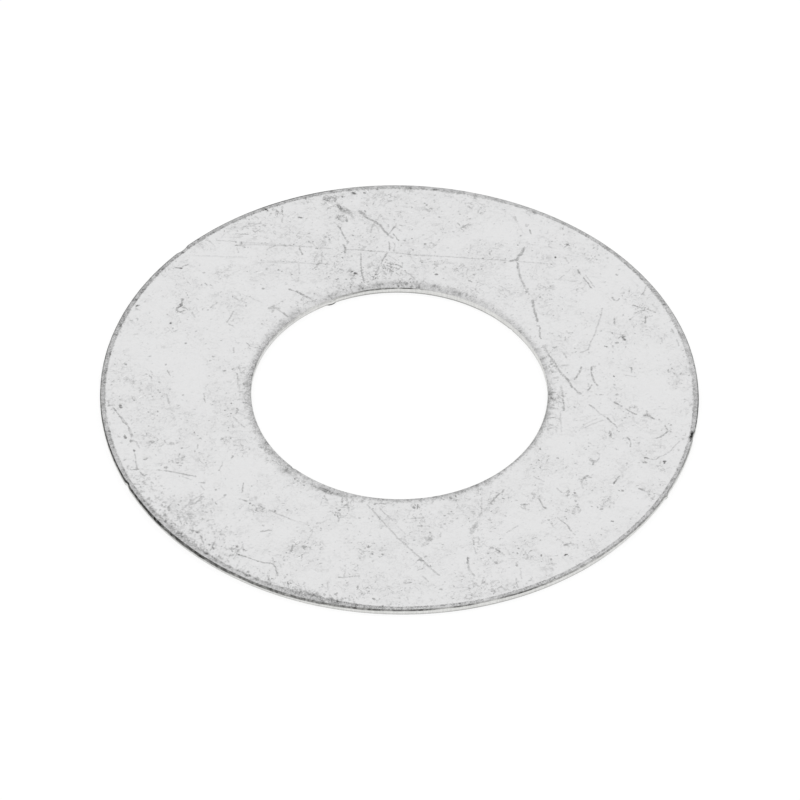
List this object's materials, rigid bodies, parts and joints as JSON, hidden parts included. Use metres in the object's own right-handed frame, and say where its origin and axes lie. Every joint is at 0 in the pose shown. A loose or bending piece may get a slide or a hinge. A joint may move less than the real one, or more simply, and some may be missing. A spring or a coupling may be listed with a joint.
{
  "type": "cover ring",
  "caption": "Thin flat sheet-metal ring with a round centre hole and blanked edges, laid over a bearing or a bore's mouth to cover it while a shaft passes through.",
  "frame": {"origin": "centre of the ring on its bottom face", "axes": "+Z along the ring's axis, from the torn side of the cuts to the drawn-down side"},
  "size_m": [0.042, 0.042, 0.0005],
  "materials": {
    "scuffed_sheet": "bright zinc-plated sheet, satin, with fine scratches, small pits and greyed edges"
  },
  "bodies": {
    "root": {"cover_ring": "scuffed_sheet"}
  },
  "joints": []
}
